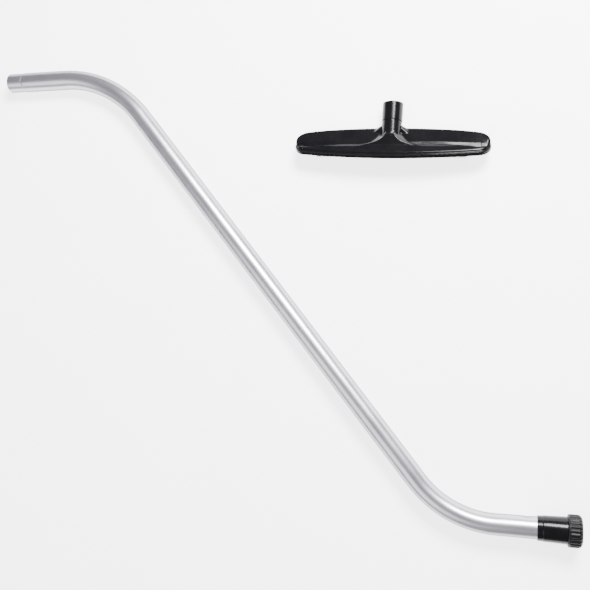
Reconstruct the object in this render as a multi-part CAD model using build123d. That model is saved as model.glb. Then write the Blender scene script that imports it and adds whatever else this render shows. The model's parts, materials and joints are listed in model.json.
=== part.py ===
from build123d import *
import math
import os

# Surface cleaner kit: an S-bent wand with a clamping cuff, and a 14 in floor tool.
# Both lie on a level floor. +X runs along the straight ends of the wand, towards its tool end.

# ---- Driving dimensions, mm ----
# Wand tube
tube_radius = 19.05
tube_wall = 1.65
hose_spigot_radius = 18.6
hose_spigot_length = 34.7
first_straight = 125.4
first_bend_radius = 218.1
middle_straight = 877.1
second_bend_radius = 178.9
bend_angle = 50.7
last_straight_to_cuff = 68.35

# Cuff
cuff_visible_length = 50.0
cuff_lead_length = 9.7
cuff_lead_radius = 21.5
cuff_tube_end_radius = 22.25
cuff_nut_end_radius = 23.3
tube_pocket_depth = 36.0
stop_lip_length = 3.0
socket_radius = 18.85
thread_radius = 22.2
thread_length = 12.0
cone_length = 7.0
cone_mouth_radius = 20.5
cone_gap = 0.3
o_ring_wire_radius = 0.75
o_ring_station = 28.0

# Lock nut and the clamp inside it
nut_radius = 27.7
nut_root_radius = 26.4
nut_length = 23.6
nut_smooth_length = 3.2
nut_corner_radius = 4.2
nut_rib_count = 24
nut_front_wall = 6.2
nut_mouth_radius = 19.1
running_gap = 0.08
fit_gap = 0.02
washer_thickness = 1.2

# Floor tool, in its own upright frame: X along it, Y to the rear, Z up from the sole
head_half_length = 177.8
head_half_depth = 32.0
head_end_radius = 22.0
head_wall = 2.6
flange_height = 7.5
roof_front_height = 9.5
roof_ridge_y = -12.0
roof_ridge_height = 15.5
roof_rear_y = 26.0
roof_rear_height = 24.5
roof_end_drop = 6.5
neck_angle = 40.0
neck_foot_y = 13.7
neck_foot_z = 15.0
neck_seam = 28.0
neck_length = 62.0
neck_radius = 18.2
neck_inner_radius = 15.4
neck_plug_radius = 17.0
sleeve_radius = 18.7
fairing_plateau_half_width = 6.5
fairing_foot_half_width = 46.0
gusset_half_width = 34.0

# Sole frame and brushes
frame_gap = 0.25
frame_bottom = 0.6
frame_thickness = 5.3
slot_half_length = 120.0
slot_half_width = 6.5
brush_y = 17.0
brush_half_length = 136.0
channel_width = 7.0
channel_height = 3.4
channel_wall = 0.6
core_wire_radius = 0.8
bristle_bottom = -7.0
bristle_width = 3.2
tuft_pitch = 8.0
stop_length = 6.0
glide_half_length = 7.0
screw_spots = ((-131.5, 0.0), (-60.0, 24.0), (60.0, 24.0), (131.5, 0.0))
screw_radius = 1.8
screw_head_radius = 3.4

# Where the tool lies beside the wand: its middle, and its turn about the vertical
tool_x = 792.2
tool_y = -160.5
tool_turn = -2.0

os.makedirs("parts", exist_ok=True)
nodes = {}


def ring(outer, inner, start, end):
    """A round tube along +X between two stations."""
    length = end - start
    solid = Cylinder(outer, length, align=(Align.CENTER, Align.CENTER, Align.MIN))
    solid -= Cylinder(inner, length, align=(Align.CENTER, Align.CENTER, Align.MIN))
    return Plane.YZ.offset(start) * solid


def turned(points):
    """A solid of revolution about the X axis from (x, radius) points."""
    outline = Plane.XY * make_face(Polyline(*points, close=True))
    return revolve(outline, Axis.X)


# ---- Wand, drawn in its own plane with the hose end at the origin ----
turn = math.radians(bend_angle)
bend_1_start = (first_straight, 0)
bend_1_end = (
    first_straight + first_bend_radius * math.sin(turn),
    -first_bend_radius * (1 - math.cos(turn)),
)
bend_2_start = (
    bend_1_end[0] + middle_straight * math.cos(turn),
    bend_1_end[1] - middle_straight * math.sin(turn),
)
bend_2_end = (
    bend_2_start[0] + second_bend_radius * math.sin(turn),
    bend_2_start[1] - second_bend_radius * (1 - math.cos(turn)),
)
cuff_start = bend_2_end[0] + last_straight_to_cuff
wand_drop = -bend_2_end[1]
tube_end = cuff_start + tube_pocket_depth
nut_start = cuff_start + cuff_visible_length
nut_end = nut_start + nut_length
washer_start = nut_end - nut_front_wall - washer_thickness
collet_end = washer_start - 1.8
# The wand tips about its hose end until the larger nut touches the floor.
wand_tip = math.degrees(math.asin((nut_radius - tube_radius) / wand_drop))


def wand_path(start):
    """The tube's centre line from a station on the first straight to the tube's end."""
    straight_1 = Line((start, 0), bend_1_start)
    bend_1 = TangentArc(bend_1_start, bend_1_end, tangent=(1, 0))
    straight_2 = Line(bend_1_end, bend_2_start)
    bend_2 = TangentArc(bend_2_start, bend_2_end, tangent=(math.cos(turn), -math.sin(turn)))
    straight_3 = Line(bend_2_end, (tube_end - fit_gap, bend_2_end[1]))
    return Wire([straight_1, bend_1, straight_2, bend_2, straight_3])


def make_wand_tube():
    """The bent tube, with its hose end swaged down to a spigot."""
    section = Plane.YZ * (Circle(tube_radius) - Circle(tube_radius - tube_wall))
    section = Pos(hose_spigot_length, 0, 0) * section
    body = sweep(section, path=wand_path(hose_spigot_length))
    inner = hose_spigot_radius - tube_wall
    spigot = turned([
        (0, inner + 0.5),
        (0, hose_spigot_radius - 0.6),
        (0.6, hose_spigot_radius),
        (hose_spigot_length - 1.5, hose_spigot_radius),
        (hose_spigot_length, tube_radius),
        (hose_spigot_length, tube_radius - tube_wall),
        (hose_spigot_length - 2.5, inner),
        (0.5, inner),
    ])
    return body + spigot


def make_cuff_sleeve():
    """The moulded cuff: a pocket for the tube, a stop lip, the tool's socket and a threaded end."""
    start = cuff_start
    shoulder = nut_start - 0.2
    face = shoulder + thread_length
    lip = start + tube_pocket_depth
    pocket = tube_radius + fit_gap
    groove = start + o_ring_station
    groove_half = o_ring_wire_radius + 0.05
    groove_floor = tube_radius + 2 * o_ring_wire_radius + 0.05
    return turned([
        (start, pocket),
        (start, cuff_lead_radius - 0.6),
        (start + 0.6, cuff_lead_radius),
        (start + cuff_lead_length, cuff_lead_radius + 0.1),
        (start + cuff_lead_length + 0.6, cuff_tube_end_radius),
        (shoulder, cuff_nut_end_radius),
        (shoulder, thread_radius),
        (face - 0.8, thread_radius),
        (face, thread_radius - 0.5),
        (face, cone_mouth_radius),
        (face - cone_length, socket_radius),
        (lip + stop_lip_length, socket_radius),
        (lip + stop_lip_length, tube_radius - tube_wall),
        (lip, tube_radius - tube_wall),
        (lip, pocket),
        (groove + groove_half, pocket),
        (groove + groove_half, groove_floor),
        (groove - groove_half, groove_floor),
        (groove - groove_half, pocket),
    ])


def make_o_ring(station, inner_radius, wire_radius):
    """An O-ring round the X axis at a station."""
    centre_radius = inner_radius + wire_radius
    return Pos(station, 0, 0) * Rot(0, 90, 0) * Torus(centre_radius, wire_radius)


def make_clamp_collet():
    """A split tapered ring that sits in the cuff's conical mouth."""
    face = nut_start - 0.2 + thread_length
    taper = (cone_mouth_radius - socket_radius) / cone_length
    inner_step = 3.0
    inner_end = face - cone_length + inner_step
    ring_solid = turned([
        (inner_end, socket_radius + 0.05),
        (inner_end, socket_radius + inner_step * taper - cone_gap),
        (face, cone_mouth_radius - cone_gap),
        (collet_end, cone_mouth_radius - cone_gap),
        (collet_end, socket_radius + 0.05),
    ])
    slit = Pos((inner_end + collet_end) / 2, 0, socket_radius + 1) * Box(20, 2.5, 6)
    return ring_solid - slit


def make_lock_nut():
    """The ribbed nut: a running bore over the cuff's thread, a front wall and a mouth."""
    outline = turned([
        (nut_start, thread_radius + running_gap),
        (nut_start, nut_root_radius - 0.8),
        (nut_start + 0.8, nut_root_radius),
        (nut_end - nut_corner_radius, nut_root_radius),
        (nut_end - 0.3 * nut_corner_radius, nut_root_radius - 0.25 * nut_corner_radius),
        (nut_end, nut_root_radius - nut_corner_radius),
        (nut_end, nut_mouth_radius + 0.6),
        (nut_end - 0.6, nut_mouth_radius),
        (nut_end - nut_front_wall, nut_mouth_radius),
        (nut_end - nut_front_wall, thread_radius + running_gap),
    ])
    rib_start = nut_start + nut_smooth_length
    rib_length = nut_end - nut_corner_radius - rib_start + 1.5
    rib = Cylinder(1.5, rib_length, align=(Align.CENTER, Align.CENTER, Align.MIN))
    rib_foot = Pos(rib_start, 0, nut_radius - 1.5) * Rot(0, 90, 0) * rib
    ribs = [Rot(360 * (i + 0.5) / nut_rib_count, 0, 0) * rib_foot for i in range(nut_rib_count)]
    collar = turned([
        (nut_start + 0.4, nut_root_radius - 1),
        (nut_start + 0.8, nut_root_radius + 0.4),
        (rib_start, nut_radius - 0.6),
        (rib_start + 0.4, nut_root_radius - 1),
    ])
    return outline.fuse(collar, *ribs)


# ---- Floor tool, upright, sole down at Z = 0 ----
def head_outline(inset):
    """The bowed plan outline: two large arcs that meet the round ends in tangency."""
    half_depth = head_half_depth - inset
    end_radius = head_end_radius - inset
    end_x = head_half_length - head_end_radius
    bow = (end_x ** 2 + half_depth ** 2 - end_radius ** 2) / (2 * (half_depth - end_radius))
    bow_centre = bow - half_depth
    reach = bow / (bow - end_radius)
    join_x = end_x * reach
    join_y = bow_centre * (reach - 1)
    tip = end_x + end_radius
    edges = [
        ThreePointArc((-join_x, -join_y), (0, -half_depth), (join_x, -join_y)),
        ThreePointArc((join_x, -join_y), (tip, 0), (join_x, join_y)),
        ThreePointArc((join_x, join_y), (0, half_depth), (-join_x, join_y)),
        ThreePointArc((-join_x, join_y), (-tip, 0), (-join_x, -join_y)),
    ]
    return make_face(Wire(edges))


def head_solid(inset, drop, bottom=0):
    """The hood as one solid: the outline raised to a folded roof that falls to the ends."""
    prism = extrude(Pos(0, 0, bottom) * head_outline(inset), 40 - bottom)
    roof_points = [
        (-60, -20),
        (-60, flange_height - drop),
        (-head_half_depth, flange_height - drop),
        (-head_half_depth + 4, roof_front_height - drop),
        (roof_ridge_y, roof_ridge_height - drop),
        (roof_rear_y - 22, roof_ridge_height + 4.5 - drop),
        (roof_rear_y, roof_rear_height - drop),
        (head_half_depth, flange_height + 4 - drop),
        (60, flange_height + 4 - drop),
        (60, -20),
    ]
    roof = make_face(Plane.YZ * Polyline(*roof_points, close=True))
    roof = extrude(Pos(-200, 0, 0) * roof, 400, dir=(1, 0, 0))
    crown = (150 ** 2 + roof_end_drop ** 2) / (2 * roof_end_drop)
    barrel = Pos(0, 0, roof_rear_height - drop - crown) * Rot(90, 0, 0) * Cylinder(crown, 200)
    return prism & roof & barrel


def along_neck(solid):
    """Moves a piece drawn up the Z axis onto the neck's axis, its base at the neck's foot."""
    return Pos(0, neck_foot_y, neck_foot_z) * Rot(neck_angle - 90, 0, 0) * solid


def upright(radius, start, end):
    """A round bar up the Z axis between two stations."""
    bar = Cylinder(radius, end - start, align=(Align.CENTER, Align.CENTER, Align.MIN))
    return Pos(0, 0, start) * bar


def make_fairing():
    """The bell-shaped slope in front of the neck, and the web behind it."""
    w = fairing_plateau_half_width
    foot = fairing_foot_half_width
    right = Spline(
        (foot, 12),
        (0.42 * foot, 19.5),
        (w, 31),
        tangents=[(-1, 0.12), (-0.7, 1)],
    )
    left = mirror(right, Plane.YZ)
    top = Line((w, 31), (-w, 31))
    base = Polyline((foot, 12), (foot, 8), (-foot, 8), (-foot, 12))
    bell = Plane.XZ * make_face(Wire([*right.edges(), top, *left.edges(), *base.edges()]))
    bell = extrude(Pos(0, 20, 0) * bell, 50, dir=(0, -1, 0))
    slope = make_face(Plane.YZ * Polyline(
        (roof_ridge_y - 1.5, 8), (roof_ridge_y - 1.5, 13.5), (4, 31), (24, 36), (24, 8), close=True
    ))
    slope = extrude(Pos(-100, 0, 0) * slope, 200, dir=(1, 0, 0))
    web = make_face(Plane.XZ * Polyline(
        (-gusset_half_width, 8), (-gusset_half_width, roof_rear_height - 1.5),
        (-neck_radius, roof_rear_height + 11), (neck_radius, roof_rear_height + 11),
        (gusset_half_width, roof_rear_height - 1.5), (gusset_half_width, 8), close=True
    ))
    web = extrude(Pos(0, roof_rear_y + 2, 0) * web, 9, dir=(0, -1, 0))
    return (bell & slope) + web


def make_head_shell():
    """The moulded hood with its neck, screw bosses and air passage."""
    neck = along_neck(upright(neck_radius, -4, neck_seam - 0.3))
    neck += along_neck(upright(neck_plug_radius, 0, neck_length - 4))
    above_sole = Pos(0, 0, 100) * Box(400, 200, 200)
    outside = head_solid(0, 0) + make_fairing() + (neck & above_sole)
    shell = outside - head_solid(head_wall, head_wall, -1)
    roof_fill = head_solid(1, 1)
    for x, y in screw_spots:
        boss = Pos(x, y, 0) * upright(4, frame_top + 0.05, frame_top + 20)
        pilot = Pos(x, y, 0) * upright(screw_radius, frame_top, frame_top + 6.5)
        shell += boss & roof_fill
        shell -= pilot
    shell -= along_neck(upright(neck_inner_radius, -8, neck_length))
    groove = upright(neck_plug_radius + 1, 34.2, 35.8) - upright(neck_plug_radius - 0.75, 34, 36)
    shell -= along_neck(groove)
    return shell


def make_neck_sleeve():
    """The collar over the neck's end, with a lip that covers the moulding."""
    tube = upright(sleeve_radius, neck_seam, neck_length)
    tube -= upright(neck_plug_radius + fit_gap, neck_seam, neck_length - 3.9)
    tube -= upright(neck_inner_radius, neck_seam, neck_length)
    return along_neck(tube)


def make_sole_frame():
    """The plate that closes the hood, with the suction slot and two brush grooves."""
    plate = extrude(Plane.XY.offset(frame_bottom) * head_outline(head_wall + frame_gap), frame_thickness)
    slot = Box(2 * slot_half_length, 2 * slot_half_width, 40)
    groove_width = channel_width + 2 * fit_gap
    groove_length = 2 * (brush_half_length + stop_length)
    groove_height = channel_height + fit_gap
    grooves = [
        Pos(0, side * brush_y, frame_bottom + groove_height / 2 - 1)
        * Box(groove_length, groove_width, groove_height + 2)
        for side in (-1, 1)
    ]
    plate = plate - slot - grooves[0] - grooves[1]
    for x, y in screw_spots:
        plate -= Pos(x, y, 0) * upright(screw_radius + 0.1, 0, 12)
        plate -= Pos(x, y, 0) * upright(screw_head_radius + 0.1, 0, frame_bottom + 2.1)
    return plate


def make_brush(side):
    """One strip brush: folded channel, core wire and bristle tufts."""
    bottom = frame_bottom
    length = 2 * brush_half_length
    channel = Pos(0, 0, bottom + channel_height / 2) * Box(length, channel_width, channel_height)
    cavity = channel_width - 2 * channel_wall
    channel -= Pos(0, 0, bottom + (channel_height - channel_wall) / 2 - 1) * Box(
        length, cavity, channel_height - channel_wall + 2
    )
    wire_z = bottom + channel_height - channel_wall - core_wire_radius - 0.05
    wire = Pos(0, 0, wire_z) * Rot(0, 90, 0) * Cylinder(core_wire_radius, length)
    count = int(length / tuft_pitch)
    top = wire_z - core_wire_radius - 0.05
    tuft = Pos(0, 0, (top + bristle_bottom) / 2) * Box(tuft_pitch - 1.2, bristle_width, top - bristle_bottom)
    tufts = [Pos((i - (count - 1) / 2) * tuft_pitch, 0, 0) * tuft for i in range(count)]
    place = Pos(0, side * brush_y, 0)
    return place * channel, place * wire, place * Compound(tufts)


def make_end_stop(side):
    """A block at each end of both grooves, and a bridge that joins them under the plate."""
    x = side * (brush_half_length + stop_length / 2)
    blocks = [
        Pos(x, y, frame_bottom + channel_height / 2) * Box(stop_length - 0.1, channel_width, channel_height)
        for y in (-brush_y, brush_y)
    ]
    bridge = Pos(x, 0, frame_bottom - 0.6) * Box(stop_length - 0.1, 2 * brush_y + channel_width, 1.2)
    return bridge + blocks[0] + blocks[1]


def make_glide(side):
    """A low skid pad under each end of the sole."""
    x = side * (head_half_length - 17)
    pad = Pos(x, 0, frame_bottom) * Box(
        2 * glide_half_length, 20, 2.4, align=(Align.CENTER, Align.CENTER, Align.MAX)
    )
    return fillet(pad.edges().filter_by(Axis.Z), 4)


def make_sole_screws():
    """Four countersunk self-tapping screws up into the hood's bosses."""
    screws = []
    for x, y in screw_spots:
        head = Pos(x, y, 0) * upright(screw_head_radius, frame_bottom + 0.1, frame_bottom + 2.0)
        shank = Pos(x, y, 0) * upright(screw_radius - 0.05, frame_bottom + 1.9, frame_top + 6)
        screws.append(head + shank)
    return Compound(screws)


frame_top = frame_bottom + frame_thickness

# The tool lies tipped back until its rear rim and the rim of its neck share the floor.
lean = math.radians(neck_angle)
neck_rim_y = neck_foot_y + neck_length * math.cos(lean) + sleeve_radius * math.sin(lean)
neck_rim_z = neck_foot_z + neck_length * math.sin(lean) - sleeve_radius * math.cos(lean)
tool_tip = math.degrees(math.atan2(neck_rim_z, neck_rim_y - head_half_depth))
tool_lift = head_half_depth * math.sin(math.radians(tool_tip))


def lay_tool(solid):
    """Tips the upright tool back onto the floor beside the wand."""
    return Pos(tool_x, tool_y, tool_lift) * Rot(0, 0, tool_turn) * Rot(-tool_tip, 0, 0) * solid


def lay_wand(solid):
    """Lays the wand on its straight hose end and its nut."""
    return Pos(0, 0, tube_radius) * Rot(-wand_tip, 0, 0) * solid


def turn_level(solid):
    """Sets a piece of the tool end on the laid wand's straight, which stays level."""
    return Pos(0, -wand_drop * math.cos(math.radians(wand_tip)), nut_radius) * solid


nodes["wand_tube"] = lay_wand(make_wand_tube())
nodes["cuff_sleeve"] = turn_level(make_cuff_sleeve())
nodes["cuff_o_ring"] = turn_level(
    make_o_ring(cuff_start + o_ring_station, tube_radius + 0.02, o_ring_wire_radius)
)
nodes["clamp_collet"] = turn_level(make_clamp_collet())
nodes["clamp_gasket"] = turn_level(
    ring(thread_radius - 0.3, socket_radius + 0.1, collet_end + 0.05, washer_start - 0.05)
)
nodes["thrust_washer"] = turn_level(
    ring(thread_radius - 0.2, nut_mouth_radius, washer_start, nut_end - nut_front_wall - 0.05)
)
nodes["lock_nut"] = turn_level(make_lock_nut())
nodes["head_shell"] = lay_tool(make_head_shell())
nodes["neck_sleeve"] = lay_tool(make_neck_sleeve())
nodes["neck_o_ring"] = lay_tool(along_neck(Pos(0, 0, 35) * Torus(neck_plug_radius - 0.36, 0.36)))
nodes["sole_frame"] = lay_tool(make_sole_frame())
for name, side in (("front", -1), ("rear", 1)):
    channel, wire, bristles = make_brush(side)
    nodes[name + "_brush_channel"] = lay_tool(channel)
    nodes[name + "_core_wire"] = lay_tool(wire)
    nodes[name + "_bristles"] = lay_tool(bristles)
for name, side in (("left", -1), ("right", 1)):
    nodes[name + "_end_stop"] = lay_tool(make_end_stop(side))
    nodes[name + "_glide"] = lay_tool(make_glide(side))
nodes["sole_screws"] = lay_tool(make_sole_screws())

# ---- Origin at the bottom centre of the whole kit, then one file for each piece ----
boxes = [solid.bounding_box() for solid in nodes.values()]
low = Vector(min(b.min.X for b in boxes), min(b.min.Y for b in boxes), min(b.min.Z for b in boxes))
high = Vector(max(b.max.X for b in boxes), max(b.max.Y for b in boxes), max(b.max.Z for b in boxes))
origin = Pos(-(low.X + high.X) / 2, -(low.Y + high.Y) / 2, -low.Z)
for name, solid in nodes.items():
    export_step(origin * solid, f"parts/{name}.step")
print("origin moved by", origin.position, "size", high - low)
print("cuff starts", cuff_start, "nut ends", nut_end, "wand drop", wand_drop, "wand tip", wand_tip)
print("tool tip", tool_tip, "tool lift", tool_lift)
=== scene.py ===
# %% [markdown]
# # A wand and floor tool for a commercial vacuum cleaner
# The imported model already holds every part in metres, with +Z up from the floor.
# This script keeps that frame, and gives each part the fine surface of the real one.

# %% Load the frame
import json
import math
import bpy
import numpy as np
from mathutils import Matrix, Vector


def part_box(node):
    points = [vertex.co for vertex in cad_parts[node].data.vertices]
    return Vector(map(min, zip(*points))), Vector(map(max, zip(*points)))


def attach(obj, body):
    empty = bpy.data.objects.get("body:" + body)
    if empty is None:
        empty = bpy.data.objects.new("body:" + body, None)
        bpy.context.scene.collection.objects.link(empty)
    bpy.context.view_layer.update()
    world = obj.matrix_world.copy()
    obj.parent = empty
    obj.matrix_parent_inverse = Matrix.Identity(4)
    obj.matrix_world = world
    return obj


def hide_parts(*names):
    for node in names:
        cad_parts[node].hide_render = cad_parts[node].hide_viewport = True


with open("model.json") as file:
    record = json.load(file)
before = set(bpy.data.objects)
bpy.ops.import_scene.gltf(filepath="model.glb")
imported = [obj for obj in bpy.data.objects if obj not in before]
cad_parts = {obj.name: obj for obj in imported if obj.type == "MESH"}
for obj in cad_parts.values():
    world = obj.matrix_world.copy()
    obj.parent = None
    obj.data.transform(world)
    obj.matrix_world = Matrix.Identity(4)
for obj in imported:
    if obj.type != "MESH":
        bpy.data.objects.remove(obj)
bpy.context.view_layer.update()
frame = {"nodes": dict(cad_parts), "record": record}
mounts = {m["name"]: m for m in frame["record"]["mounts"]}
MM = 0.001

# %% [markdown]
# The wand's straight ends run along X. The hose end lies flat on the floor, and the other end
# lies on the lock nut, which is larger. Both axes can be read from the frame's boxes,
# so nothing has to be measured twice.

# %% Find the axes of the wand's two ends
hose_axis = Vector(mounts["hose_spigot"]["pos_m"])
socket_axis = Vector(mounts["tool_socket"]["pos_m"])
hose_end_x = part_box("wand_tube")[0][0]
cuff_start_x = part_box("cuff_sleeve")[0][0]
nut_low, nut_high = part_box("lock_nut")
print("hose end at x =", round(hose_end_x, 4))
print("nut from x =", round(nut_low[0], 4), "to", round(nut_high[0], 4))

# %% [markdown]
# A material here is a small node tree. One helper adds a node with its settings and its
# links, so that each material reads as a short list. Colours are written as sRGB hex,
# the way a paint chart gives them, and turned to the linear values that light works in.

# %% Helpers for materials
def linear(hex_colour):
    """An sRGB hex colour as linear red, green, blue and alpha."""
    parts = [int(hex_colour[i:i + 2], 16) / 255 for i in (1, 3, 5)]
    light = [c / 12.92 if c <= 0.04045 else ((c + 0.055) / 1.055) ** 2.4 for c in parts]
    return tuple(light) + (1,)


def add_node(tree, kind, settings=None, links=None):
    """Adds one node. Settings name inputs or properties, and links name inputs and sockets."""
    node = tree.nodes.new(kind)
    for name, value in (settings or {}).items():
        if name in node.inputs:
            node.inputs[name].default_value = value
        else:
            setattr(node, name, value)
    for name, socket in (links or {}).items():
        tree.links.new(socket, node.inputs[name])
    return node


def new_material(name):
    """A material with a Principled shader, and its tree, shader and object coordinates."""
    material = bpy.data.materials.new(name)
    material.use_nodes = True
    tree = material.node_tree
    shader = tree.nodes["Principled BSDF"]
    place = add_node(tree, "ShaderNodeTexCoord").outputs["Object"]
    return material, tree, shader, place


def ramp(tree, socket, stops):
    """A colour ramp from (position, hex colour) stops."""
    node = add_node(tree, "ShaderNodeValToRGB", links={"Fac": socket})
    points = node.color_ramp.elements
    while len(points) < len(stops):
        points.new(0.5)
    for point, (position, colour) in zip(points, stops):
        point.position = position
        point.color = linear(colour)
    return node.outputs["Color"]


# %% [markdown]
# The tube is drawn aluminium, anodised to a satin silver. Drawing leaves very fine lines
# along the tube, which blur the shine lengthwise, and handling leaves faint dull patches.
# The lines follow the tube round its bends, so they are drawn in the tube's own UV map:
# U runs round it and V runs along it, both in metres. Real drawing lines are finer than a
# tenth of a millimetre, so they are widened here until they just show. The edge tint is
# kept grey, so that the tube's rim stays as quiet as its middle.

# %% Material: satin anodised aluminium
def satin_anodised_aluminium():
    line_width, line_length = 0.5 * MM, 90 * MM
    patch_size, grain_size = 45 * MM, 0.8 * MM
    material, tree, shader, place = new_material("satin_anodised_aluminium")
    uv = add_node(tree, "ShaderNodeTexCoord").outputs["UV"]
    drawn = add_node(
        tree, "ShaderNodeMapping", {"Scale": (1 / line_width, 1 / line_length, 1)}, {"Vector": uv}
    )
    lines = add_node(
        tree, "ShaderNodeTexNoise", {"Scale": 1.0, "Detail": 3.0}, {"Vector": drawn.outputs[0]}
    )
    dull = add_node(
        tree, "ShaderNodeTexNoise", {"Scale": 1 / patch_size, "Detail": 4.0}, {"Vector": place}
    )
    grain = add_node(
        tree, "ShaderNodeTexNoise", {"Scale": 1 / grain_size, "Detail": 2.0}, {"Vector": place}
    )
    colour = ramp(tree, dull.outputs["Fac"], [(0.3, "#aeacb4"), (0.7, "#b8b6bd")])
    tree.links.new(colour, shader.inputs["Base Color"])
    rough = add_node(
        tree, "ShaderNodeMapRange", {"To Min": 0.30, "To Max": 0.37}, {"Value": dull.outputs["Fac"]}
    )
    tree.links.new(rough.outputs[0], shader.inputs["Roughness"])
    bump = add_node(
        tree, "ShaderNodeBump", {"Strength": 0.06, "Distance": 0.05 * MM},
        {"Height": lines.outputs["Fac"]},
    )
    fine = add_node(
        tree, "ShaderNodeBump", {"Strength": 0.10, "Distance": 0.04 * MM},
        {"Height": grain.outputs["Fac"], "Normal": bump.outputs[0]},
    )
    tree.links.new(fine.outputs[0], shader.inputs["Normal"])
    shader.inputs["Metallic"].default_value = 1.0
    shader.inputs["Specular Tint"].default_value = linear("#77757c")
    return material


# %% [markdown]
# The tool's hood and the cuff are glossy black polypropylene, moulded in a polished tool.
# Such a face is smooth, but never a perfect mirror: it has a slow waviness from shrinkage,
# and a fine grain that scatters a little light. The other mouldings differ only in colour,
# in how rough they are, and in the size and height of those two patterns. All of them use
# a shine level below the usual 0.5, so that the black stays as deep as on the real kit.

# %% Materials: moulded black plastics
plastic_ior, plastic_shine = 1.49, 0.16
cloud_size = 30 * MM


def moulded_plastic(name, colours, roughness, wave_mm, wave_height_mm, grain_mm, grain_height_mm):
    """A moulding: cloudy colour and roughness, a slow wave and a fine grain."""
    material, tree, shader, place = new_material(name)
    cloud = add_node(
        tree, "ShaderNodeTexNoise", {"Scale": 1 / cloud_size, "Detail": 5.0}, {"Vector": place}
    )
    colour = ramp(tree, cloud.outputs["Fac"], [(0.35, colours[0]), (0.68, colours[1])])
    tree.links.new(colour, shader.inputs["Base Color"])
    rough = add_node(
        tree, "ShaderNodeMapRange", {"To Min": roughness[0], "To Max": roughness[1]},
        {"Value": cloud.outputs["Fac"]},
    )
    tree.links.new(rough.outputs[0], shader.inputs["Roughness"])
    wave = add_node(
        tree, "ShaderNodeTexNoise", {"Scale": 1 / (wave_mm * MM), "Detail": 1.0}, {"Vector": place}
    )
    grain = add_node(
        tree, "ShaderNodeTexNoise", {"Scale": 1 / (grain_mm * MM), "Detail": 2.0}, {"Vector": place}
    )
    slow = add_node(
        tree, "ShaderNodeBump", {"Strength": 1.0, "Distance": wave_height_mm * MM},
        {"Height": wave.outputs["Fac"]},
    )
    fine = add_node(
        tree, "ShaderNodeBump", {"Strength": 1.0, "Distance": grain_height_mm * MM},
        {"Height": grain.outputs["Fac"], "Normal": slow.outputs[0]},
    )
    tree.links.new(fine.outputs[0], shader.inputs["Normal"])
    shader.inputs["IOR"].default_value = plastic_ior
    shader.inputs["Specular IOR Level"].default_value = plastic_shine
    return material


aluminium = satin_anodised_aluminium()
gloss_black = moulded_plastic(
    "gloss_black_polypropylene", ("#060608", "#0a0a0c"), (0.17, 0.23),
    wave_mm=14, wave_height_mm=0.02, grain_mm=0.9, grain_height_mm=0.003,
)
nut_black = moulded_plastic(
    "black_nylon", ("#060608", "#0b0b0d"), (0.38, 0.48),
    wave_mm=9, wave_height_mm=0.02, grain_mm=0.6, grain_height_mm=0.01,
)
frame_black = moulded_plastic(
    "matt_black_abs", ("#161618", "#1d1d20"), (0.45, 0.58),
    wave_mm=12, wave_height_mm=0.03, grain_mm=0.7, grain_height_mm=0.03,
)
acetal = moulded_plastic(
    "white_acetal", ("#dcdad2", "#e8e6df"), (0.30, 0.40),
    wave_mm=10, wave_height_mm=0.03, grain_mm=0.8, grain_height_mm=0.01,
)
seal_rubber = moulded_plastic(
    "nitrile_rubber", ("#101010", "#1a1a1a"), (0.6, 0.75),
    wave_mm=6, wave_height_mm=0.04, grain_mm=0.5, grain_height_mm=0.03,
)
bristle_fibre = moulded_plastic(
    "black_nylon_bristle", ("#0f0e0d", "#221f1c"), (0.35, 0.5),
    wave_mm=5, wave_height_mm=0.0, grain_mm=0.5, grain_height_mm=0.0,
)
print("materials:", len(bpy.data.materials))

# %% [markdown]
# The channels, core wires, washer and screws are steel with a thin bright zinc coat. The
# coat is cool grey, and its crystals leave a faint mottle about 3 mm across, so a cell
# pattern sets both the colour and how sharply each spot shines.

# %% Material: zinc plated steel
def zinc_plated_steel():
    crystal_size = 3 * MM
    material, tree, shader, place = new_material("zinc_plated_steel")
    spangle = add_node(tree, "ShaderNodeTexVoronoi", {"Scale": 1 / crystal_size}, {"Vector": place})
    colour = ramp(tree, spangle.outputs["Distance"], [(0.1, "#a9adb2"), (0.8, "#bfc3c7")])
    tree.links.new(colour, shader.inputs["Base Color"])
    rough = add_node(
        tree, "ShaderNodeMapRange", {"To Min": 0.28, "To Max": 0.42},
        {"Value": spangle.outputs["Distance"]},
    )
    tree.links.new(rough.outputs[0], shader.inputs["Roughness"])
    shader.inputs["Metallic"].default_value = 1.0
    return material


steel = zinc_plated_steel()
print("added", steel.name)

# %% [markdown]
# Round parts are turned, as on a lathe: a closed outline of (x, radius) points is spun about
# the X axis. Real mouldings have no knife edges, so each corner of the outline is first
# replaced by a short curve, and the light then catches it as it does on the real part.

# %% Helpers for round parts
def soften(points, radius):
    """Replaces each corner of a closed outline with a short curve of about that radius."""
    most_of_side = 0.45  # so that the curves at the two ends of a side never meet
    result = []
    count = len(points)
    for i, corner in enumerate(points):
        before, after = np.array(points[i - 1]), np.array(points[(i + 1) % count])
        corner = np.array(corner)
        side_in, side_out = np.linalg.norm(before - corner), np.linalg.norm(after - corner)
        reach = min(radius, most_of_side * side_in, most_of_side * side_out)
        start = corner + (before - corner) / side_in * reach
        end = corner + (after - corner) / side_out * reach
        for t in (0, 0.25, 0.5, 0.75, 1):
            result.append(tuple((1 - t) ** 2 * start + 2 * t * (1 - t) * corner + t * t * end))
    return result


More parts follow.
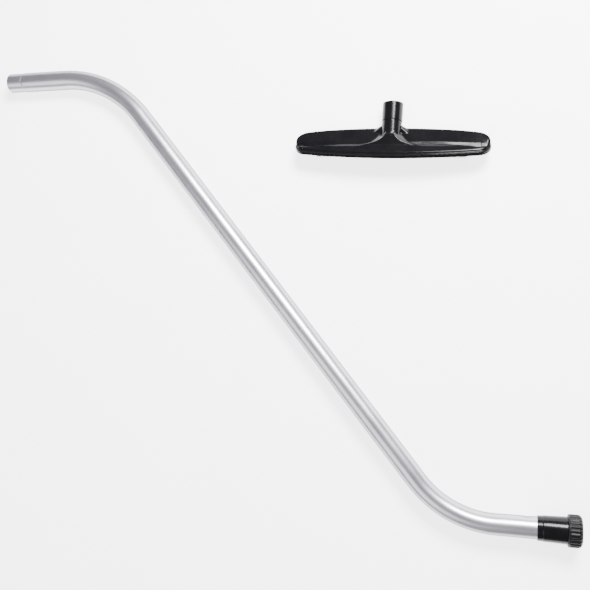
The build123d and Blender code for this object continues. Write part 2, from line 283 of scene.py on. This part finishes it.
def finish_piece(name, vertices, faces, material, body, replaced=(), sharp=40):
    """Makes the mesh object, shades it, attaches it to its body, and hides the CAD nodes that it
    replaces.
    """
    mesh = bpy.data.meshes.new(name)
    mesh.from_pydata([tuple(v) for v in vertices], [], [tuple(int(i) for i in f) for f in faces])
    mesh.update()
    mesh.shade_smooth()
    mesh.set_sharp_from_angle(angle=math.radians(sharp))
    piece = bpy.data.objects.new(name, mesh)
    bpy.context.scene.collection.objects.link(piece)
    mesh.materials.append(material)
    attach(piece, body)
    if replaced:
        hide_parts(*replaced)
    print(name, len(mesh.vertices), "vertices")
    return piece


def grid_faces(rings, around, closed=True):
    """Quads between rings of vertices. A closed grid joins its last ring to its first."""
    faces = []
    for i in range(rings if closed else rings - 1):
        j = (i + 1) % rings
        for k in range(around):
            m = (k + 1) % around
            faces.append((i * around + k, i * around + m, j * around + m, j * around + k))
    return faces


def turned_part(
    name, outline_mm, corner_mm, axis_point, material, body, replaced=(),
    steps=144, shape=None,
):
    """Spins a closed (x, radius) outline in millimetres about the X axis through a point."""
    outline = soften(outline_mm, corner_mm)
    angles = np.linspace(0, 2 * math.pi, steps, endpoint=False)
    vertices = []
    for x, radius in outline:
        r = np.full(steps, radius) if shape is None else shape(x, radius, angles)
        for angle, value in zip(angles, r):
            vertices.append((
                axis_point[0] + x * MM,
                axis_point[1] + value * MM * math.cos(angle),
                axis_point[2] + value * MM * math.sin(angle),
            ))
    faces = grid_faces(len(outline), steps)
    return finish_piece(name, vertices, faces, material, body, replaced)


# %% [markdown]
# The tube is one ring of points carried along the wand's centre line. Bending draws the
# section a little flat in the plane of the bend, the hose end is swaged down to a spigot
# with a shallow step, and a tool mark dents the tube just before the cuff.

# %% Wand: centre line
tube_radius, tube_wall = 19.05, 1.65
spigot_radius, spigot_length = 18.6, 34.7
first_straight, first_bend, middle_straight, second_bend = 125.4, 218.1, 877.1, 178.9
bend_turn = math.radians(50.7)
level_drop = (hose_axis.y - socket_axis.y) / MM
rise = (socket_axis.z - hose_axis.z) / MM
wand_slope = math.atan2(rise, level_drop)
tube_end = (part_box("wand_tube")[1][0] - hose_end_x) / MM


def station_points():
    """Distances along the tube, close together where its shape changes."""
    bend_1 = first_straight + first_bend * bend_turn
    bend_2 = bend_1 + middle_straight
    end_2 = bend_2 + second_bend * bend_turn
    flat_end = (
        first_straight + (first_bend + second_bend) * math.sin(bend_turn)
        + middle_straight * math.cos(bend_turn)
    )
    total = end_2 + tube_end - flat_end
    spans = [
        (0, 1.2, 6), (1.2, 30, 8), (30, 39, 18), (39, first_straight, 14),
        (first_straight, bend_1, 64), (bend_1, bend_2, 40), (bend_2, end_2, 64),
        (end_2, end_2 + 20, 6), (end_2 + 20, total - 36, 60), (total - 36, total, 3),
    ]
    stations = sorted({round(v, 4) for a, b, n in spans for v in np.linspace(a, b, n + 1)})
    return stations, (bend_1, bend_2, end_2, total)


def centre_and_heading(s, marks):
    """The centre line's point and its turn from the X axis, in the wand's plane."""
    bend_1, bend_2, end_2 = marks[:3]
    if s <= first_straight:
        return s, 0.0, 0.0
    if s <= bend_1:
        a = (s - first_straight) / first_bend
        return first_straight + first_bend * math.sin(a), -first_bend * (1 - math.cos(a)), a
    x = first_straight + first_bend * math.sin(bend_turn)
    y = -first_bend * (1 - math.cos(bend_turn))
    run = min(s, bend_2) - bend_1
    x, y = x + run * math.cos(bend_turn), y - run * math.sin(bend_turn)
    if s <= bend_2:
        return x, y, bend_turn
    a = bend_turn - (min(s, end_2) - bend_2) / second_bend
    x += second_bend * (math.sin(bend_turn) - math.sin(a))
    y -= second_bend * (math.cos(a) - math.cos(bend_turn))
    return x + max(0.0, s - end_2), y, a


stations, wand_marks = station_points()
print("tube length along its centre line:", round(wand_marks[3]), "mm, in", len(stations), "rings")

# %% [markdown]
# Each ring starts as a circle, and every flaw is then a small change to its radius. A bell
# curve along the tube fades a flaw in and out, so that none of them leaves a hard edge.
# The outer rings run one way and the inner rings run back, which closes the tube's wall.

# %% Wand: the tube's skin
groove_depth, groove_length, groove_before_step = 0.6, 1.0, 2.2
flattening = 0.028
dent_depth, dent_length, dent_angle, dent_from_end = 1.5, 5.0, 0.42, 52.5
wrinkle_depth, wrinkle_length, wrinkle_angle = 0.35, 5.5, 0.5
wrinkle_places = (22, 40)


def smooth_step(value, low, high):
    t = np.clip((value - low) / (high - low), 0, 1)
    return t * t * (3 - 2 * t)


def tube_ring(s, inside, steps):
    """Points of one ring. Angle 0 faces the outer side of the wand's plane, along +Y."""
    bend_1, bend_2, end_2, total = wand_marks
    x, y, turn = centre_and_heading(s, wand_marks)
    angles = np.linspace(0, 2 * math.pi, steps, endpoint=False)
    swage = smooth_step(s, spigot_length - groove_before_step, spigot_length + 0.3)
    radius = spigot_radius + (tube_radius - spigot_radius) * swage
    past_groove = s - spigot_length + groove_before_step
    groove = groove_depth * math.exp(-(past_groove / groove_length) ** 2)
    lead = 0.5 * (1 - smooth_step(s, 0, 1.0))
    flat = 0.0
    for start, end in ((first_straight, bend_1), (bend_2, end_2)):
        fade_in = smooth_step(s, start - 30, start + 40)
        fade_out = smooth_step(s, end - 40, end + 30)
        flat += flattening * fade_in * (1 - fade_out)
    if inside:
        radius = radius - tube_wall
        lead = 0.4 * (smooth_step(s, 0, 1.0) - 1)
        groove = 0.0
    r = np.full(steps, radius - groove - lead)
    top = np.minimum(angles, 2 * math.pi - angles)
    dent = dent_depth * math.exp(-((s - (total - dent_from_end)) / dent_length) ** 2)
    inner_side = np.abs(angles - math.pi)
    wrinkle = sum(
        wrinkle_depth * math.exp(-((s - first_straight - d) / wrinkle_length) ** 2)
        for d in wrinkle_places
    )
    r = r - dent * np.exp(-((top / dent_angle) ** 2))
    r = r - wrinkle * np.exp(-((inner_side / wrinkle_angle) ** 2))
    across = r * (1 - flat) * np.cos(angles)
    up = r * np.sin(angles)
    px = x + across * math.sin(turn)
    py = y + across * math.cos(turn)
    level = py * math.cos(wand_slope) + up * math.sin(wand_slope)
    height = -py * math.sin(wand_slope) + up * math.cos(wand_slope)
    return np.stack([
        hose_end_x + px * MM,
        hose_axis.y + level * MM,
        hose_axis.z + height * MM,
    ], axis=1)


def make_wand_tube():
    steps = 128
    rings = [tube_ring(s, False, steps) for s in stations]
    rings += [tube_ring(s, True, steps) for s in reversed(stations)]
    vertices = np.concatenate(rings)
    piece = finish_piece(
        "wand_tube_skin", vertices, grid_faces(len(rings), steps), aluminium, "wand",
        ["wand_tube"], sharp=60,
    )
    along = stations + stations[::-1]
    uv = piece.data.uv_layers.new(name="tube")
    for polygon in piece.data.polygons:
        ring_numbers = [piece.data.loops[i].vertex_index for i in polygon.loop_indices]
        round_it = [v % steps for v in ring_numbers]
        wraps = max(round_it) - min(round_it) > steps / 2
        for i, v in zip(polygon.loop_indices, ring_numbers):
            k = v % steps
            k = k + steps if wraps and k < steps / 2 else k
            uv.data[i].uv = (2 * math.pi * tube_radius * MM * k / steps, along[v // steps] * MM)


make_wand_tube()

# %% [markdown]
# The cuff is a moulding that grows from the tube to the nut, with a short lead-in collar.
# Its stations are measured along X from its own edge, as the frame gives it.

# %% Cuff and the clamp inside it
def at_socket(x):
    return (x, socket_axis.y, socket_axis.z)


cuff_point = at_socket(cuff_start_x)
shoulder, cuff_face, cone_start, lip = 49.8, 61.8, 54.8, 36.0
turned_part(
    "cuff_moulding",
    [
        (0, 19.07), (0, 20.9), (0.6, 21.45), (9.0, 21.6), (9.9, 22.2), (22, 22.4), (shoulder, 23.3),
        (shoulder, 22.2), (cuff_face, 22.2), (cuff_face, 20.5), (cone_start, 18.85), (39, 18.85),
        (39, 17.4), (lip, 17.4), (lip, 19.07),
    ],
    0.45, cuff_point, gloss_black, "wand", ["cuff_sleeve"],
)
collet_end = (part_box("clamp_collet")[1][0] - cuff_start_x) / MM
turned_part(
    "collet_ring",
    [(57.8, 18.9), (57.8, 19.25), (cuff_face, 20.2), (collet_end, 20.2), (collet_end, 18.9)],
    0.25, cuff_point, acetal, "clamp", ["clamp_collet"],
)
gasket = [(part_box("clamp_gasket")[side][0] - cuff_start_x) / MM for side in (0, 1)]
turned_part(
    "gasket_ring",
    [(gasket[0], 18.97), (gasket[0], 21.8), (gasket[1], 21.8), (gasket[1], 18.97)],
    0.3, cuff_point, seal_rubber, "clamp", ["clamp_gasket"],
)
washer = [(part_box("thrust_washer")[side][0] - cuff_start_x) / MM for side in (0, 1)]
turned_part(
    "washer_ring",
    [(washer[0], 19.1), (washer[0], 21.9), (washer[1], 21.9), (washer[1], 19.1)],
    0.15, cuff_point, steel, "clamp", ["thrust_washer"],
)

# %% [markdown]
# The lock nut is gripped by hand, so its rim carries rounded ribs that run along it. They
# start behind a plain shoulder and fade out where the outer corner rounds over, so the
# radius is one smooth function of the station and the angle.

# %% Lock nut
rib_count, rib_depth = 24, 1.3
ribbed_from_radius = 24.4
nut_length = (nut_high[0] - nut_low[0]) / MM


def ribbed(x, radius, angles):
    """Cuts rounded valleys between the ribs into the nut's outer face."""
    if radius < ribbed_from_radius:
        return np.full(len(angles), radius)
    fade = smooth_step(x, 2.6, 4.0) * (1 - smooth_step(x, nut_length - 3.4, nut_length - 1.2))
    wave = 0.5 + 0.5 * np.cos(angles * rib_count)
    return radius - rib_depth * fade * (1 - wave ** 0.7)


nut_outline = [
    (0, 22.3), (0, 26.3), (0.5, 27.15), (2.4, 27.6), (3.2, 27.65), (4.2, 27.68), (8, 27.68),
    (12, 27.68), (nut_length - 5.8, 27.6), (nut_length - 3.8, 26.9), (nut_length - 2.1, 25.3),
    (nut_length - 0.6, 23.1), (nut_length, 22.0), (nut_length, 19.7), (nut_length - 0.6, 19.1),
    (nut_length - 6.2, 19.1), (nut_length - 6.2, 22.3),
]
turned_part(
    "ribbed_nut", nut_outline, 0.8, at_socket(nut_low[0]), nut_black, "lock_nut",
    ["lock_nut"], steps=rib_count * 16, shape=ribbed,
)

# %% [markdown]
# The floor tool's hood is one moulding in which every face flows into the next. Such a
# shape is easiest to describe as a distance: a function that says how far any point is from
# the surface, negative inside. Two shapes then join with a rounded corner by a smooth
# minimum, and OpenVDB, which comes with Blender, turns the zero level into quads.
# The tool is described upright, in millimetres: X along it, Y to the rear, Z up.

# %% Helpers for moulded shapes
import openvdb

narrow_band = 3  # cells on each side of the surface in which distances are kept


def smooth_min(a, b, radius):
    blend = np.clip(0.5 + 0.5 * (b - a) / radius, 0, 1)
    return b + (a - b) * blend - radius * blend * (1 - blend)


def smooth_max(a, b, radius):
    return -smooth_min(-a, -b, radius)


def block(x, y, z, low, high, radius=0.0):
    """Distance to a box, with rounded edges."""
    centre = [(a + b) / 2 for a, b in zip(low, high)]
    half = [(b - a) / 2 - radius for a, b in zip(low, high)]
    q = [np.abs(v - c) - h for v, c, h in zip((x, y, z), centre, half)]
    outside = np.sqrt(sum(np.maximum(v, 0) ** 2 for v in q))
    return outside + np.minimum(np.maximum(np.maximum(q[0], q[1]), q[2]), 0) - radius


neck_mount = mounts["neck_spigot"]
neck_axis = Vector(neck_mount["axis"]).normalized()
neck_lean = math.radians(40.0)
neck_foot = (13.7, 15.0)
neck_middle = 45.0
tool_x_axis = Vector((neck_axis.y, -neck_axis.x, 0)).normalized()
across_neck = tool_x_axis.cross(neck_axis)
tool_y_axis = math.cos(neck_lean) * neck_axis - math.sin(neck_lean) * across_neck
tool_z_axis = math.sin(neck_lean) * neck_axis + math.cos(neck_lean) * across_neck
tool_axes = np.array([tool_x_axis, tool_y_axis, tool_z_axis])
neck_middle_local = np.array([
    0,
    neck_foot[0] + neck_middle * math.cos(neck_lean),
    neck_foot[1] + neck_middle * math.sin(neck_lean),
])
tool_origin = np.array(neck_mount["pos_m"]) - neck_middle_local * MM @ tool_axes
print("the tool leans back", round(math.degrees(math.acos(tool_z_axis.z)), 1), "degrees")


def tool_place(points_mm):
    """Upright tool points, in millimetres, to their place in the frame."""
    return tool_origin + (np.asarray(points_mm) * MM) @ tool_axes


def moulded_part(name, distance, low, high, cell, material, replaced=()):
    """Meshes the zero level of a distance function over a box, and sets it on the tool."""
    axes = [
        np.arange(a - 2.5 * cell, b + 3.5 * cell, cell, dtype=np.float32)
        for a, b in zip(low, high)
    ]
    x, y, z = np.meshgrid(*axes, indexing="ij")
    field = np.ascontiguousarray(distance(x, y, z), dtype=np.float32)
    grid = openvdb.FloatGrid(10.0)
    grid.copyFromArray(np.clip(field, -narrow_band * cell, narrow_band * cell))
    points, quads = grid.convertToQuads(0.0)
    points = points * cell + np.array([a[0] for a in axes])
    return finish_piece(
        name, tool_place(points), quads[:, ::-1], material, "floor_tool", replaced, sharp=50
    )


# %% [markdown]
# Seen from above, the hood is bounded by two large arcs that run into round ends. Its roof
# is a row of heights from front to rear, joined by straight slopes. The heights and their
# places shift a little with the distance from the middle, which bends the ledge and the
# terrace into the long curves of the real moulding.

# %% Hood: plan outline and roof
half_length, half_depth, end_radius, wall = 177.8, 32.0, 22.0, 2.5
end_x = half_length - end_radius
bow = (end_x ** 2 + half_depth ** 2 - end_radius ** 2) / (2 * (half_depth - end_radius))
bow_centre = bow - half_depth
roof_end_drop = 0.6


def plan(x, y):
    """Signed distance to the bowed outline: two large arcs that run into round ends."""
    ax, ay = np.abs(x), np.abs(y)
    in_end = ax * bow_centre > end_x * (ay + bow_centre)
    end, arc = np.hypot(ax - end_x, y) - end_radius, np.hypot(x, ay + bow_centre) - bow
    return np.where(in_end, end, arc)


def outline_y(x):
    """Half the depth of the outline at x."""
    ax = np.minimum(np.abs(x), half_length - 0.01)
    in_arc = np.sqrt(bow ** 2 - ax ** 2) - bow_centre
    in_end = np.sqrt(np.maximum(end_radius ** 2 - np.maximum(ax - end_x, 0) ** 2, 0))
    return np.where(ax < end_x, in_arc, in_end)


def roof(x, y):
    """Height of the roof: a ledge, a front slope, a narrow terrace, and the rear rise."""
    s = np.clip(np.abs(x) / 156.0, 0, 1.15)
    edge = outline_y(x)
    swell = np.sin(np.pi * np.clip((np.abs(x) - 18) / 125.0, 0, 1))
    drop = roof_end_drop * s ** 2
    knots_y = [
        -edge + 2.2, -edge + 5.0, -edge + 9.0 - 1.0 * s, -13.6 - 1.2 * swell + 3.2 * s ** 3,
        -9.4 + 1.6 * swell - 0.6 * s ** 3, -4.6 + 0.8 * s ** 2, edge - 8.0 + 5.0 * s ** 2, edge + 4,
    ]
    knots_z = [
        8.6 + 0 * s, 10.8 - 0.5 * s ** 2, 11.9 - 0.8 * s ** 2, 15.0 - 3.6 * s ** 2,
        15.5 - 3.6 * s ** 2, 18.0 - 3.0 * s ** 2, 24.2 - drop, 25.2 - drop,
    ]
    z = knots_z[0] + 0 * y
    for y0, y1, z0, z1 in zip(knots_y, knots_y[1:], knots_z, knots_z[1:]):
        t = np.clip((y - y0) / (y1 - y0), 0, 1)
        z = z + (z1 - z0) * t
    return z


print("hood outline:", 2 * half_length, "by", 2 * half_depth, "mm")

# %% [markdown]
# The neck is a short tube that leans back. A bell-shaped fairing carries it down to the
# terrace in front, and a low web braces it behind. All of them are added to the hood by
# smooth minimum, and the hollow under the roof and the air bore are then cut away.

# %% Hood: neck, front fairing and rear web
neck_radius, plug_radius, bore_radius, seam = 18.2, 17.0, 15.4, 27.7
neck_length = 62.0
hood_cell = 0.7


def neck_frame(y, z):
    """Distance up the neck's axis, and offset in front of it."""
    dy, dz = y - neck_foot[0], z - neck_foot[1]
    c, s = math.cos(neck_lean), math.sin(neck_lean)
    return dy * c + dz * s, -dy * s + dz * c


def rod(x, y, z, radius, start, end):
    """Distance to a round bar on the neck's axis."""
    up, front = neck_frame(y, z)
    return np.maximum(np.hypot(x, front) - radius, np.maximum(start - up, up - end))


def fairing(x, y, z):
    """The bell-shaped slope that carries the front of the neck down to the terrace."""
    fall = 41 * np.exp(-(np.clip(z, 15, 60) - 15.5) / 5.8)
    sides = (np.abs(x) - 5.2 - fall) / np.sqrt(1 + (fall / 5.8) ** 2)
    slope = ((z - 13.2) - (y + 13.8)) / math.sqrt(2)
    top = (z - 30.6 - 0.30 * (y - 4)) / 1.05
    bell = smooth_max(smooth_max(sides, slope, 1.2), top, 1.2)
    return np.maximum(np.maximum(bell, y - 16), 9 - z)


def web(x, y, z):
    """The low trapezoid web that braces the neck from behind."""
    rise_out = ((z - 23.0) - (31 - np.abs(x)) * 0.66) / 1.2
    front = ((z - 23.0) - 1.6 * (y - 15)) / 1.9
    face = smooth_max(smooth_max(rise_out, front, 3.0), z - 35, 2.0)
    return smooth_max(face, y - 27.0, 2.0)


def hood(x, y, z):
    outline = plan(x, y)
    flange = smooth_max(outline, z - 7.6, 1.6)
    height = (z - roof(x, y)) / 1.08
    end = np.clip((np.abs(x) - 120) / 50, 0, 1)
    dome = smooth_max(outline + 2.4 - 1.2 * end, height, 3.2 + 5.0 * end)
    body = smooth_min(flange, dome, 1.0)
    braces = smooth_min(rod(x, y, z, neck_radius, -4, seam), web(x, y, z), 1.0)
    body = smooth_min(body, braces, 1.6)
    body = smooth_min(body, fairing(x, y, z), 0.7)
    body = np.minimum(body, rod(x, y, z, plug_radius, 0, neck_length - 4))
    hollow = np.maximum(outline + wall, z - roof(x, y) + wall)
    body = np.maximum(body, -hollow)
    body = np.maximum(body, -rod(x, y, z, bore_radius, -9, neck_length + 5))
    return np.maximum(body, -z)


moulded_part(
    "hood_moulding", hood, (-half_length, -half_depth, 0), (half_length, 72, 56), hood_cell,
    gloss_black, ["head_shell"],
)

# %% [markdown]
# A separate collar slips over the neck and makes the spigot that the wand's socket grips.
# The thin shadow line under it is a real gap between two mouldings.

# %% Neck collar
def collar(x, y, z):
    up, front = neck_frame(y, z)
    r = np.hypot(x, front)
    outer = smooth_max(r - 18.7, up - neck_length, 1.4)
    outer = smooth_max(outer, 28.0 - up, 0.5)
    inner = np.maximum(r - 17.05, up - (neck_length - 3.9))
    return np.maximum(np.maximum(outer, -inner), bore_radius - r)


moulded_part(
    "neck_collar", collar, (-19, 22, 14), (19, 76, 72), 0.6,
    gloss_black, ["neck_sleeve"],
)

# %% [markdown]
# Underneath, a plate closes the hood. It has the long suction slot, and a groove on each
# side of it that holds a strip brush. The plate is screwed up into the hood.

# %% Sole plate
frame_low, frame_high = 0.6, 5.9
brush_y, brush_half = 17.0, 136.0
screw_spots = ((-131.5, 0.0), (-60.0, 24.0), (60.0, 24.0), (131.5, 0.0))


def sole_plate(x, y, z):
    middle, half_thick = (frame_low + frame_high) / 2, 2.65
    plate = smooth_max(plan(x, y) + 2.85, np.abs(z - middle) - half_thick, 0.6)
    slot_shape = block(x, y, z, (-120, -6.5, -5), (120, 6.5, 12), 4.0)
    plate = smooth_max(plate, -slot_shape, 0.7)
    for side in (-1, 1):
        middle_y = side * brush_y
        groove = block(x, y, z, (-142, middle_y - 3.52, -2), (142, middle_y + 3.52, 4.02))
        plate = np.maximum(plate, -groove)
    for sx, sy in screw_spots:
        sink = np.maximum(np.hypot(x - sx, y - sy) - 3.5, z - 2.7)
        plate = np.maximum(plate, -sink)
    return plate


moulded_part(
    "sole_plate", sole_plate, (-half_length, -half_depth, 0), (half_length, half_depth, 6.5), 0.6,
    frame_black, ["sole_frame"],
)

# %% [markdown]
# A strip brush is held in a channel of folded steel, open at the bottom, with a core wire
# inside it. Both keep one section from end to end, so each is a closed profile carried
# straight along the tool, with a flat cap at each end.

# %% Strip brush channels and core wires
channel_base, channel_top = 0.6, 4.0
wire_radius, wire_height = 0.8, 2.55


def extruded(name, profile_mm, half, material, replaced):
    """Carries a closed (y, z) profile along the tool's X axis."""
    outline = soften(profile_mm, 0.2)
    vertices = [(x, y, z) for x in (-half, half) for y, z in outline]
    count = len(outline)
    faces = grid_faces(2, count, closed=False)
    faces += [tuple(range(count)), tuple(range(2 * count - 1, count - 1, -1))]
    return finish_piece(name, tool_place(vertices), faces, material, "floor_tool", replaced)


for side, side_name in ((-1, "front"), (1, "rear")):
    y = side * brush_y
    base, top = channel_base, channel_top
    channel = [
        (y - 3.5, base), (y - 3.5, top), (y + 3.5, top), (y + 3.5, base),
        (y + 2.9, base), (y + 2.9, top - 0.6), (y - 2.9, top - 0.6), (y - 2.9, base),
    ]
    extruded(side_name + "_strip_channel", channel, brush_half, steel,
             [side_name + "_brush_channel"])
    turns = [math.radians(a) for a in range(0, 360, 30)]
    wire = [
        (y + wire_radius * math.cos(a), wire_height + wire_radius * math.sin(a)) for a in turns
    ]
    extruded(side_name + "_strip_wire", wire, brush_half - 0.05, steel,
             [side_name + "_core_wire"])

# %% [markdown]
# Bristles are thousands of stiff nylon hairs folded over the wire and pinched in the
# channel. Each one is a thin three-sided taper that leaves the channel at its own small
# angle, so the row frays softly at its edge as a real brush does.

# %% Bristles
def bristle_row(name, side, seed, replaced):
    """Three rings of three points make each hair: its root, its middle and its tip."""
    rng = np.random.default_rng(seed)
    count = 3600
    x = np.linspace(-brush_half + 0.6, brush_half - 0.6, count) + rng.normal(0, 0.15, count)
    x = np.clip(x, -brush_half + 0.2, brush_half - 0.2)
    y = side * brush_y + rng.uniform(-1.3, 1.3, count)
    root = np.stack([x, y, np.full(count, 1.6)], axis=1)
    lean_x = rng.normal(0, 0.07, count)
    lean_y = rng.normal(0, 0.035, count) + (y - side * brush_y) * 0.05
    length = 8.45 + rng.uniform(-0.45, 0.1, count)
    tip = root + np.stack([lean_x * length, lean_y * length, -length], axis=1)
    angles = [math.radians(a) for a in (0, 120, 240)]
    rings = []
    middle = (root + tip) / 2 + [0, 0.1 * side, 0]
    for point, radius in ((root, 0.16), (middle, 0.14), (tip, 0.08)):
        for a in angles:
            rings.append(point + np.array([math.cos(a) * radius, math.sin(a) * radius, 0]))
    vertices = np.stack(rings, axis=1).reshape(-1, 3)
    local = [(0, 1, 4, 3), (1, 2, 5, 4), (2, 0, 3, 5), (3, 4, 7, 6), (4, 5, 8, 7), (5, 3, 6, 8)]
    faces = [tuple(9 * i + k for k in quad) for i in range(count) for quad in local]
    caps = ((2, 1, 0), (6, 7, 8))
    faces += [tuple(9 * i + k for k in cap) for i in range(count) for cap in caps]
    return finish_piece(
        name, tool_place(vertices), faces, bristle_fibre, "floor_tool", replaced
    )


bristle_row("front_bristle_row", -1, 11, ["front_bristles"])
bristle_row("rear_bristle_row", 1, 12, ["rear_bristles"])

# %% [markdown]
# Moulded stops close the ends of the strips, round skids let the tool slide on a hard
# floor, and four cross-head screws hold the plate. They are small, so they are meshed with
# a finer cell than the hood, or their rounded edges would be lost.

# %% End stops, skids and screws
small_cell, screw_cell = 0.3, 0.15
for side, side_name in ((-1, "left"), (1, "right")):
    stop_x = side * (brush_half + 3.0)

    def end_stop(x, y, z, stop_x=stop_x):
        shape = block(x, y, z, (stop_x - 2.95, -20.5, -0.6), (stop_x + 2.95, 20.5, 0.6), 0.5)
        for centre in (-brush_y, brush_y):
            low, high = (stop_x - 2.95, centre - 3.5, 0), (stop_x + 2.95, centre + 3.5, 4.0)
            leg = block(x, y, z, low, high, 0.4)
            shape = smooth_min(shape, leg, 0.5)
        return shape

    moulded_part(
        side_name + "_strip_stop", end_stop, (stop_x - 3, -20.5, -0.6), (stop_x + 3, 20.5, 4),
        small_cell, frame_black, [side_name + "_end_stop"],
    )
    glide_x = side * (half_length - 17)

    def glide(x, y, z, glide_x=glide_x):
        past_x, past_y = np.maximum(np.abs(x - glide_x) - 3, 0), np.maximum(np.abs(y) - 6, 0)
        corner = np.hypot(past_x, past_y) - 4
        return smooth_max(corner, np.abs(z + 0.6) - 1.2, 0.8)

    moulded_part(
        side_name + "_skid", glide, (glide_x - 7, -10, -1.8), (glide_x + 7, 10, 0.6),
        small_cell, acetal, [side_name + "_glide"],
    )


def screw_heads(x, y, z):
    shape = np.full(x.shape, 9.0, dtype=np.float32)
    for sx, sy in screw_spots:
        r = np.hypot(x - sx, y - sy)
        head = smooth_max(r - 3.4 + np.maximum(z - 1.4, 0) * 1.2, np.abs(z - 1.65) - 0.95, 0.3)
        arm = np.minimum(
            np.maximum(np.abs(x - sx) - 0.45, np.abs(y - sy) - 1.8),
            np.maximum(np.abs(y - sy) - 0.45, np.abs(x - sx) - 1.8),
        )
        shape = np.minimum(shape, np.maximum(head, -np.maximum(arm, z - 1.7)))
    return shape


for number, (sx, sy) in enumerate(screw_spots):
    moulded_part(
        "sole_screw_%d" % (number + 1), screw_heads,
        (sx - 3.6, sy - 3.6, 0.5), (sx + 3.6, sy + 3.6, 2.8), screw_cell,
        steel, ["sole_screws"] if number == 0 else (),
    )

# %% [markdown]
# A plain pale floor could also be lit from above, but that light would fall on the black
# mouldings too. The key softbox stands high behind the floor tool, at the right, and draws
# the long highlight on the tube. A larger and weaker one at the front left fills the other
# side. The camera looks down, a little from the right.

# %% Floor, lights and camera
floor_half_size, floor_glow = 6.0, 3.4


def make_floor():
    mesh = bpy.data.meshes.new("floor")
    sides = ((-1, -1), (1, -1), (1, 1), (-1, 1))
    corners = [(x * floor_half_size, y * floor_half_size, 0) for x, y in sides]
    mesh.from_pydata(corners, [], [(0, 1, 2, 3)])
    floor = bpy.data.objects.new("floor", mesh)
    bpy.context.scene.collection.objects.link(floor)
    material, tree, shader, place = new_material("lit_opal_acrylic")
    mottle = add_node(tree, "ShaderNodeTexNoise", {"Scale": 6.0, "Detail": 3.0}, {"Vector": place})
    colour = ramp(tree, mottle.outputs["Fac"], [(0.3, "#f4f4f5"), (0.7, "#f6f6f7")])
    tree.links.new(colour, shader.inputs["Base Color"])
    tree.links.new(colour, shader.inputs["Emission Color"])
    shader.inputs["Emission Strength"].default_value = floor_glow
    shader.inputs["Roughness"].default_value = 0.9
    shader.inputs["Specular IOR Level"].default_value = 0.2
    mesh.materials.append(material)


def softbox(name, place, aim, width, height, power):
    light = bpy.data.lights.new(name, "AREA")
    light.shape = "RECTANGLE"
    light.size, light.size_y = width, height
    light.energy = power
    lamp = bpy.data.objects.new(name, light)
    lamp.location = place
    lamp.rotation_euler = (Vector(aim) - Vector(place)).to_track_quat("-Z", "Y").to_euler()
    bpy.context.scene.collection.objects.link(lamp)


make_floor()
softbox("key_softbox", (0.735, 1.286, 1.5), (0.1, 0, 0), width=0.9, height=0.6, power=190)
softbox("left_softbox", (-1.3, -1.5, 2.2), (-0.1, 0, 0), width=2.6, height=2.0, power=60)
world = bpy.data.worlds.new("studio")
world.use_nodes = True
sky = world.node_tree.nodes["Background"]
sky.inputs["Color"].default_value = linear("#f2f3f5")
sky.inputs["Strength"].default_value = 0.62
bpy.context.scene.world = world

camera_place = Vector((0.4258, -0.0180, 1.4413))
camera_aim = Vector((0.0462, -0.0136, 0.0))
camera_roll = math.radians(0.97)
camera_data = bpy.data.cameras.new("camera")
camera_data.lens = 47.8
camera_data.sensor_width = 36
camera = bpy.data.objects.new("camera", camera_data)
bpy.context.scene.collection.objects.link(camera)
forward = (camera_aim - camera_place).normalized()
side_axis = forward.cross(Vector((0, 1, 0))).normalized()
up_axis = side_axis.cross(forward)
side_axis = (math.cos(camera_roll) * side_axis + math.sin(camera_roll) * up_axis).normalized()
up_axis = side_axis.cross(forward)
facing = Matrix((side_axis, up_axis, -forward)).transposed().to_4x4()
camera.matrix_world = Matrix.Translation(camera_place) @ facing
bpy.context.scene.camera = camera
print("camera", round((camera_aim - camera_place).length, 3), "m from what it looks at")

# %% [markdown]
# Two O-rings stay as the frame made them, since a plain ring has nothing finer to show.
# They still get the rubber's material.

# %% Rubber on the two O-rings
for name in ("cuff_o_ring", "neck_o_ring"):
    ring_object = frame["nodes"][name]
    ring_object.data.materials.clear()
    ring_object.data.materials.append(seal_rubber)
    print(name, "has", ring_object.data.materials[0].name)
